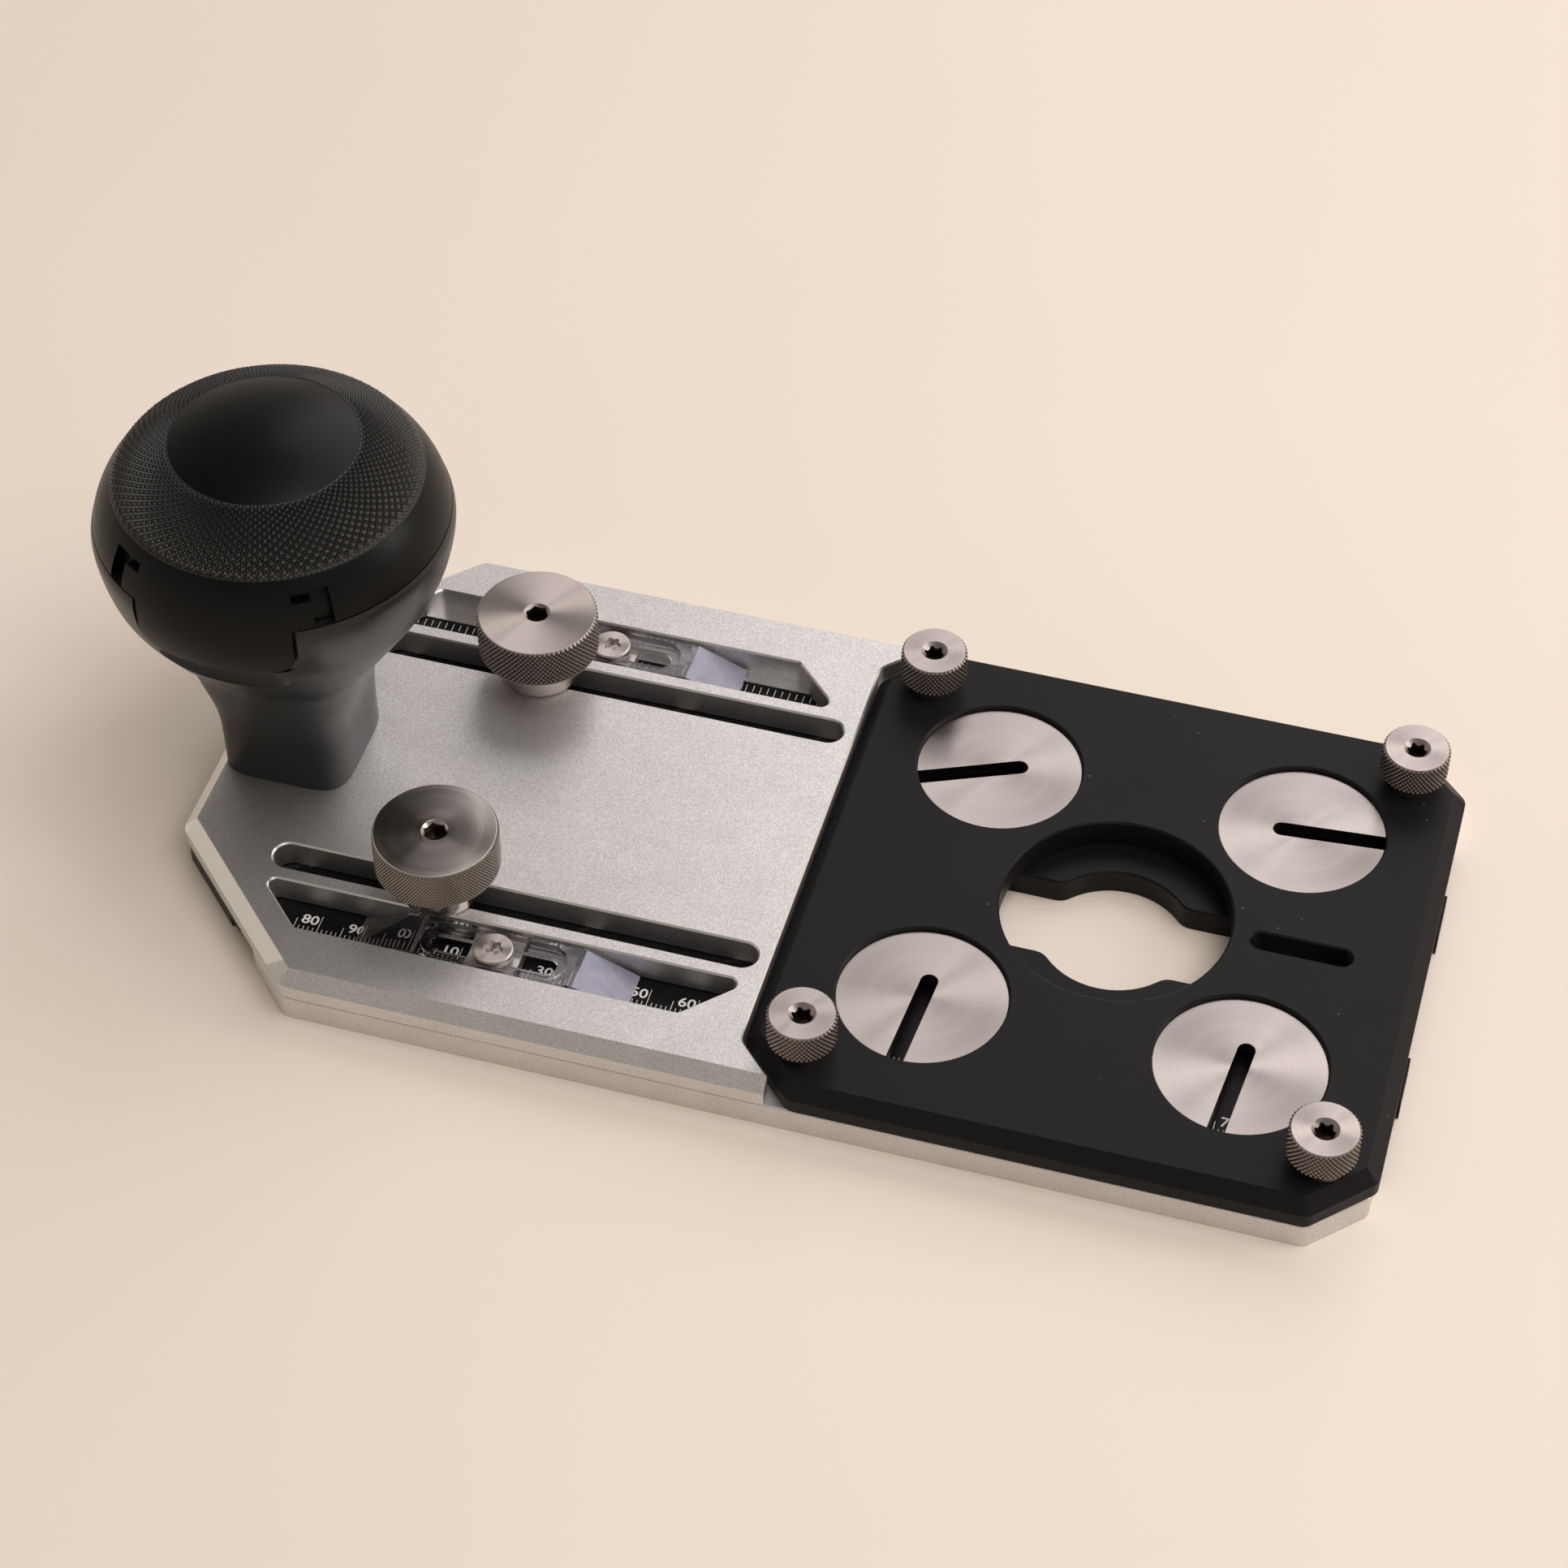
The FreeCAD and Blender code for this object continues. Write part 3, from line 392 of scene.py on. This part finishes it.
def turned_form(x, y, rings, closed=True):
    """Joins rings into one skin; where four corners differ, the crease joins the lower pair."""
    mesh = bmesh.new()
    groove = mesh.verts.layers.float.new("groove")
    rows = []
    for radii, heights, grooves in rings:
        row = []
        for column, (radius, height) in enumerate(zip(radii, heights)):
            angle = 2 * math.pi * column / len(radii)
            spot = Vector((x + radius * math.cos(angle), y + radius * math.sin(angle), height)) * mm
            vertex = mesh.verts.new(spot)
            vertex[groove] = grooves[column]
            row.append((vertex, radius))
        rows.append(row)
    for below, above in zip(rows, rows[1:]):
        for column in range(len(below)):
            after = (column + 1) % len(below)
            (a, ra), (b, rb), (c, rc), (d, rd) = below[column], below[after], above[after], above[column]
            if ra == rb and rc == rd:
                mesh.faces.new((a, b, c, d))
            elif ra + rc <= rb + rd:
                mesh.faces.new((a, b, c))
                mesh.faces.new((a, c, d))
            else:
                mesh.faces.new((a, b, d))
                mesh.faces.new((b, c, d))
    if closed:
        mesh.faces.new([vertex for vertex, _ in reversed(rows[0])])
        mesh.faces.new([vertex for vertex, _ in rows[-1]])
        bmesh.ops.recalc_face_normals(mesh, faces=mesh.faces)
    return mesh


def knurled_steel(name, width, roughness, dark, light, groove_colour):
    """Turned and knurled stainless steel: bright crests, and a darker colour towards the bottom of the
    grooves and of the recess.
    """
    material = turned_steel(name, width, roughness, dark, light)
    tree = material.node_tree
    shader = tree.nodes["Principled BSDF"]
    depth = add(tree, "ShaderNodeAttribute", {"attribute_name": "groove"})
    # darker the deeper a point lies in a knurl groove, and darkest at the bottom of the recess
    groove_share = add(tree, "ShaderNodeMapRange", None, {"Value": depth.outputs["Fac"], "From Max": 0.9})
    ungrooved = shader.inputs["Base Color"].links[0].from_socket
    colour = add(tree, "ShaderNodeMix", {"data_type": "RGBA"},
                 {0: groove_share.outputs[0], 6: ungrooved, 7: shade(groove_colour)})
    tree.links.new(colour.outputs[2], shader.inputs["Base Color"])
    return material


def make_thumb_screw(x, y):
    """One thumb screw from its shank's tip up to the bottom of its recess."""
    columns = diamond_steps * thumb_diamonds
    rings = plain_rings(thumb_profile, columns)
    rings += knurl_rings(thumb_radius, thumb_knurl_depth, thumb_diamonds, diamond_height, *thumb_knurl,
                         columns)
    rings += plain_rings([(thumb_face, thumb_top)], columns)
    rings += recess_rings(lobed, thumb_top, columns)
    return turned_form(x, y, rings)


thumb_finish = knurled_steel("steel_knurled_thumb_screw", 2 * thumb_radius, 0.34, "#a39a97", "#bdb4b1",
                             "#2b241e")
for corner, (x, y) in thumb_places.items():
    thumb = make_piece("knurled_thumb_screw_" + corner, make_thumb_screw(x, y), thumb_finish,
                       blend_angle)
    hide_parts("thumb_screw_" + corner)
    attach(thumb, "thumb_screw_" + corner)

# ---------------------------------------------------------------- clamp knobs
# Two clamp knobs lock the slide.  They are stainless too, larger, with a plain collar below the
# knurl and a hexagon recess.  The back knob has a coarse knurl and a matt face; the front one is
# faced with a finer feed, so it has a finer knurl and a darker, mirror-like top.
clamp_x = -59.3
knob_row = 32.0
# radius and height of each corner, from the bottom of the stud's hole round to the knurl's foot
knob_profile = [(3.02, 23.45), (3.02, 12.25), (7.7, 12.25), (8.1, 12.65), (8.1, 20.05), (12.45, 20.45)]
knob_radius = 12.85
knob_face = 12.3
knob_knurl = (20.85, 29.25)
knob_top = 29.8
hexagon_across = 4.2


def hexagon(angle):
    """Radius of the hexagon recess at an angle."""
    return hexagon_across / 2 / math.cos(angle % (math.pi / 3) - math.pi / 6)


def make_knob(y, diamonds, tall, depth):
    """One clamp knob, from its stud hole round to the bottom of its recess."""
    columns = diamond_steps * diamonds
    rings = plain_rings(knob_profile, columns)
    rings += knurl_rings(knob_radius, depth, diamonds, tall, *knob_knurl, columns)
    rings += plain_rings([(knob_face, knob_top)], columns)
    rings += recess_rings(hexagon, knob_top, columns)
    return turned_form(clamp_x, y, rings)


matt_knob = knurled_steel("steel_knurled_matt_knob", 2 * knob_radius, 0.42, "#b0a6a3", "#cbc2be", "#2b241e")
bright_knob = knurled_steel("steel_knurled_bright_knob", 2 * knob_radius, 0.17, "#b3aca6", "#cfc9c3",
                            "#3a3026")
back_knob = make_piece("knurled_back_clamp_knob",
                       make_knob(knob_row, diamonds=78, tall=diamond_height, depth=0.32), matt_knob,
                       blend_angle)
front_knob = make_piece("knurled_front_clamp_knob",
                        make_knob(-knob_row, diamonds=120, tall=0.95, depth=0.22), bright_knob, blend_angle)
for knob, end in ((back_knob, "back"), (front_knob, "front")):
    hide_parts(end + "_clamp_knob")
    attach(knob, end + "_clamp")

# ---------------------------------------------------------------- cursors
# Each scale is read through a clear acrylic cursor with bevelled ends.  It is milled from sheet
# and flame polished, so its faces are clear; the long bevel keeps a satin cut face, and its bluish
# grey colour is partly that frosted face and partly a painted reflection.
bevel_lean = 0.925           # upward part of a bevel's normal
bevel_lean_slack = 0.045
bevel_side = 0.3             # the satin bevel's normal leans toward +X by more than this
bevel_streak = 2.0
satin_clearness = 0.35       # share of the light that the satin face lets through
satin_roughness = 0.25


def clear_acrylic():
    """Polished acrylic: clear, with one bevel left satin by the cutting tool and coloured bluish grey,
    partly as that frosted face and partly as a painted reflection.
    """
    material, tree, shader = start_finish("acrylic_polished", {"IOR": 1.49})
    face = add(tree, "ShaderNodeSeparateXYZ", None,
               {0: add(tree, "ShaderNodeNewGeometry").outputs["True Normal"]})
    lean = add(tree, "ShaderNodeMath", {"operation": "COMPARE"},
               {0: face.outputs["Z"], 1: bevel_lean, 2: bevel_lean_slack})
    toward = add(tree, "ShaderNodeMath", {"operation": "GREATER_THAN"},
                 {0: face.outputs["X"], 1: bevel_side})
    bevel = add(tree, "ShaderNodeMath", {"operation": "MULTIPLY"},
                {0: lean.outputs[0], 1: toward.outputs[0]})
    where = add(tree, "ShaderNodeTexCoord").outputs["Object"]
    streaks = add(tree, "ShaderNodeTexNoise", None, {"Vector": where, "Scale": 1 / (bevel_streak * mm)})
    # the bevel's bluish grey is partly the frosted cut face and partly a painted reflection
    cut_face_and_reflection = add(tree, "ShaderNodeMix", {"data_type": "RGBA"},
                 {0: streaks.outputs["Fac"], 6: shade("#8f8da6"), 7: shade("#bcbad0")})
    colour = add(tree, "ShaderNodeMix", {"data_type": "RGBA"},
                 {0: bevel.outputs[0], 6: shade("#e9e7ea"), 7: cut_face_and_reflection.outputs[2]})
    clear = add(tree, "ShaderNodeMapRange", None,
                {"Value": bevel.outputs[0], "To Min": 1.0, "To Max": satin_clearness})
    polish = add(tree, "ShaderNodeMapRange", None,
                 {"Value": bevel.outputs[0], "To Min": 0.0, "To Max": satin_roughness})
    tree.links.new(colour.outputs[2], shader.inputs["Base Color"])
    tree.links.new(clear.outputs[0], shader.inputs["Transmission Weight"])
    tree.links.new(polish.outputs[0], shader.inputs["Roughness"])
    return material


dress(clear_acrylic(), "acrylic")

# ---------------------------------------------------------------- ball handle
# The handle is moulded in glass-filled nylon in two halves, a neck with a bowl and a hinged lid.
# It is matt black with a fine spark-eroded grain.  A band of cut diamonds on the lid gives grip.
handle_x = -101.1
side_radius = 22.0
side_centre = (13.9, 73.6)   # from the handle's axis, and up
crown_radius = 46.2
crown_centre = 53.78
band_low = 87.4
band_high = 96.1
side_end = math.radians(54.9)
band_diamonds = 84
band_rows = 10               # diamonds from the band's foot to its top
band_proud = 0.42
band_skin = 0.02             # pockets stand this far off the lid
band_sunk = 0.05             # both rims of the band are sunk this far into the lid
pocket_spread = 1.6          # above 1 the pockets end in a flat
handle_grain = 0.45
handle_grain_depth = 0.05
handle_bloom = 18.0


def moulded_nylon(name, dark, light, coarse, fine, gloss):
    """Matt black nylon: an even eroded grain, and a greyer bloom where hands have rubbed it."""
    material, tree, shader = start_finish(name, {"Specular IOR Level": gloss})
    where = add(tree, "ShaderNodeTexCoord").outputs["Object"]
    grain = add(tree, "ShaderNodeTexNoise", None,
                {"Vector": where, "Scale": 1 / (handle_grain * mm), "Detail": 2.0, "Roughness": 0.6})
    bloom = add(tree, "ShaderNodeTexNoise", None,
                {"Vector": where, "Scale": 1 / (handle_bloom * mm), "Detail": 3.0})
    colour = add(tree, "ShaderNodeMix", {"data_type": "RGBA"},
                 {0: bloom.outputs["Fac"], 6: shade(dark), 7: shade(light)})
    satin = add(tree, "ShaderNodeMapRange", None,
                {"Value": grain.outputs["Fac"], "To Min": coarse, "To Max": fine})
    pits = add(tree, "ShaderNodeBump", None,
               {"Strength": 0.14, "Distance": handle_grain_depth * mm, "Height": grain.outputs["Fac"]})
    tree.links.new(colour.outputs[2], shader.inputs["Base Color"])
    tree.links.new(satin.outputs[0], shader.inputs["Roughness"])
    tree.links.new(pits.outputs[0], shader.inputs["Normal"])
    return material


def lid_point(height, proud):
    """Radius and height of a point that stands proud of the lid's surface."""
    join = side_centre[1] + side_radius * math.sin(side_end)
    if height < join:
        lean = math.asin((height - side_centre[1]) / side_radius)
        radius = side_centre[0] + side_radius * math.cos(lean)
    else:
        lean = math.asin((height - crown_centre) / crown_radius)
        radius = crown_radius * math.cos(lean)
    return radius + proud * math.cos(lean), height + proud * math.sin(lean)


def band_heights(count):
    """Heights of the band's rows, in step with the radius so that diamonds keep their shape."""
    steps = 400
    heights = [band_low + (band_high - band_low) * i / steps for i in range(steps + 1)]
    points = [lid_point(height, 0) for height in heights]
    reach = [0.0]
    for (r0, z0), (r1, z1) in zip(points, points[1:]):
        reach.append(reach[-1] + math.hypot(r1 - r0, z1 - z0) / ((r0 + r1) / 2))
    rows = []
    for row in range(count + 1):
        goal = reach[-1] * row / count
        index = min(steps, next(i for i, value in enumerate(reach) if value >= goal - 1e-9))
        rows.append(heights[index])
    return rows


def make_lid_band():
    """Skin of raised crossing ridges with sunk diamonds; its ends run out into the lid."""
    columns = diamond_steps * band_diamonds
    heights = band_heights(diamond_steps * band_rows)
    rings = []
    for row, height in enumerate(heights):
        edge = min(row, len(heights) - 1 - row)
        radii = []
        levels = []
        pockets = []
        for column in range(columns):
            way = column / diamond_steps
            up = row / diamond_steps
            hollow = min(1, pocket_spread * min(ridge(way + up), ridge(way - up)))
            strength = min(1, edge / diamond_steps)
            proud = band_skin + band_proud * (1 - hollow) * strength if edge > 0 else -band_sunk
            radius, level = lid_point(height, proud)
            radii.append(radius)
            levels.append(level)
            pockets.append(1 - (1 - hollow) * strength)
        rings.append((radii, levels, pockets))
    return turned_form(handle_x, 0, rings, closed=False)


def band_painted_sheen_and_shade():
    """The same nylon, its ridges lighter grey as a painted sheen and its pockets near black as painted
    shade.
    """
    material = moulded_nylon("nylon_black_painted_sheen_and_shade", "#1d1c1b", "#2a2827", 0.40, 0.30, 0.4)
    tree = material.node_tree
    shader = tree.nodes["Principled BSDF"]
    pocket = add(tree, "ShaderNodeAttribute", {"attribute_name": "groove"})
    ungrooved = shader.inputs["Base Color"].links[0].from_socket
    # pockets painted near black as painted shade; the greyer ridges are a painted sheen
    colour = add(tree, "ShaderNodeMix", {"data_type": "RGBA"},
                 {0: pocket.outputs["Fac"], 6: ungrooved, 7: shade("#030303")})
    tree.links.new(colour.outputs[2], shader.inputs["Base Color"])
    return material


dress(moulded_nylon("nylon_black_moulded", "#090808", "#100f0f", 0.39, 0.31, 0.42), "handle_polymer")
# The lid's nylon is a darker, less glossy copy of the handle's: painted shade on the top of the ball.
dress(moulded_nylon("nylon_black_lid_painted_shade", "#040404", "#080808", 0.40, 0.32, 0.16), "handle_polymer",
      ["handle_cap"])
band = make_piece("lid_grip_band", make_lid_band(), band_painted_sheen_and_shade())
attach(band, "handle_cap")

# ---------------------------------------------------------------- threaded inserts
# Two brass inserts are pressed into the handle's foot, and the handle screws bite in them.  They
# are hidden when the handle stands on its plate.
tarnish_patch = 1.2


def turned_brass():
    """Brass as it comes off the lathe: yellow, satin, with a little tarnish."""
    material, tree, shader = start_finish("brass_turned", {"Metallic": 1.0})
    where = add(tree, "ShaderNodeTexCoord").outputs["Object"]
    tarnish = add(tree, "ShaderNodeTexNoise", None,
                  {"Vector": where, "Scale": 1 / (tarnish_patch * mm), "Detail": 4.0})
    colour = add(tree, "ShaderNodeMix", {"data_type": "RGBA"},
                 {0: tarnish.outputs["Fac"], 6: shade("#a98a4c"), 7: shade("#d9bd7c")})
    satin = add(tree, "ShaderNodeMapRange", None,
                {"Value": tarnish.outputs["Fac"], "To Min": 0.28, "To Max": 0.42})
    tree.links.new(colour.outputs[2], shader.inputs["Base Color"])
    tree.links.new(satin.outputs[0], shader.inputs["Roughness"])
    return material


dress(turned_brass(), "brass")

# ---------------------------------------------------------------- floor, lamps and camera
# A warm pale board under a large soft lamp behind, a softer one above and a small one at the
# right.  The room is dim above and paler at eye level, so turned metal has something to show.
floor_reach = 8.0            # metres, like the rest of this section
near_floor = 0.45            # the lamps alone light the board up to here
far_floor = 1.4              # and from here on it is an even backdrop
board_patches = 6.0          # patches of tone in a metre
dim_above = 0.7              # the room is dimmest where a direction points up this far


def painted_board():
    """Painted board: warm off-white, matt; far from the lamps it shows as a plain pale backdrop."""
    material, tree, shader = start_finish("board_painted", {"Roughness": 0.85, "Specular IOR Level": 0.2})
    where = add(tree, "ShaderNodeTexCoord").outputs["Object"]
    cloud = add(tree, "ShaderNodeTexNoise", None, {"Vector": where, "Scale": board_patches, "Detail": 2.0})
    colour = add(tree, "ShaderNodeMix", {"data_type": "RGBA"},
                 {0: cloud.outputs["Fac"], 6: shade("#ebded1"), 7: shade("#efe4d8")})
    tree.links.new(colour.outputs[2], shader.inputs["Base Color"])
    away = add(tree, "ShaderNodeVectorMath", {"operation": "LENGTH"}, {0: where})
    far = add(tree, "ShaderNodeMapRange", None,
              {"Value": away.outputs["Value"], "From Min": near_floor, "From Max": far_floor})
    ray = add(tree, "ShaderNodeLightPath")
    seen = add(tree, "ShaderNodeMath", {"operation": "MAXIMUM"},
               {0: ray.outputs["Is Camera Ray"], 1: ray.outputs["Is Glossy Ray"]})
    seen = add(tree, "ShaderNodeMath", {"operation": "MAXIMUM"},
               {0: seen.outputs[0], 1: ray.outputs["Is Transmission Ray"]})
    share = add(tree, "ShaderNodeMath", {"operation": "MULTIPLY"},
                {0: far.outputs[0], 1: seen.outputs[0]})
    glow = add(tree, "ShaderNodeEmission", None, {"Color": shade("#ecdfd2"), "Strength": 1.0})
    both = add(tree, "ShaderNodeMixShader", None,
               {0: share.outputs[0], 1: shader.outputs[0], 2: glow.outputs[0]})
    tree.links.new(both.outputs[0], tree.nodes["Material Output"].inputs["Surface"])
    return material


def lamp(name, place, target, width, depth, radiance, tint):
    """Soft rectangular lamp; its power follows from how bright its face is."""
    data = bpy.data.lights.new(name, "AREA")
    data.shape = "RECTANGLE"
    data.size = width
    data.size_y = depth
    data.energy = radiance * math.pi * width * depth
    data.color = shade(tint)[:3]
    light = bpy.data.objects.new(name, data)
    toward = (Vector(target) - Vector(place)).to_track_quat("-Z", "Y")
    light.matrix_world = Matrix.Translation(place) @ toward.to_matrix().to_4x4()
    bpy.context.scene.collection.objects.link(light)


ground = bmesh.new()
bmesh.ops.create_grid(ground, x_segments=8, y_segments=8, size=floor_reach)
floor = make_piece("floor", ground, painted_board())

lamp("lamp_behind", place=(0.5, 1.3, 1.15), target=(0.12, 0.0, 0.0), width=1.95, depth=1.5, radiance=1.75,
     tint="#fff9f9")
lamp("lamp_above", place=(0.5, -0.2, 1.4), target=(0.0, 0.0, 0.0), width=1.1, depth=1.1, radiance=3.2,
     tint="#fffaf5")
lamp("lamp_right", place=(1.2, 0.35, 0.55), target=(0.0, 0.0, 0.02), width=0.4, depth=0.5, radiance=6.0,
     tint="#fff8f0")

room = bpy.data.worlds.new("room")
room.use_nodes = True
bpy.context.scene.world = room
sky = room.node_tree
aim = add(sky, "ShaderNodeSeparateXYZ", None, {0: add(sky, "ShaderNodeTexCoord").outputs["Generated"]})
upward = add(sky, "ShaderNodeMapRange", None, {"Value": aim.outputs["Z"], "From Max": dim_above})
air = add(sky, "ShaderNodeMix", {"data_type": "RGBA"},
          {0: upward.outputs[0], 6: shade("#d8cec2"), 7: shade("#77746f")})
sky.links.new(air.outputs[2], sky.nodes["Background"].inputs["Color"])

# the camera's own axes, and where it stands
right = Vector((0.9612, 0.2757, -0.0013))
down = Vector((0.2016, -0.7062, -0.6787))
ahead = Vector((-0.1881, 0.6521, -0.7344))
stand = Vector((0.1505, -0.5084, 0.6013))
lens = bpy.data.cameras.new("camera")
lens.lens = 88.70
lens.sensor_width = 36.0
camera = bpy.data.objects.new("camera", lens)
turn = Matrix((right, -down, -ahead)).transposed().to_4x4()
camera.matrix_world = Matrix.Translation(stand) @ turn
bpy.context.scene.collection.objects.link(camera)
bpy.context.scene.camera = camera
bpy.context.scene.view_settings.view_transform = "Standard"
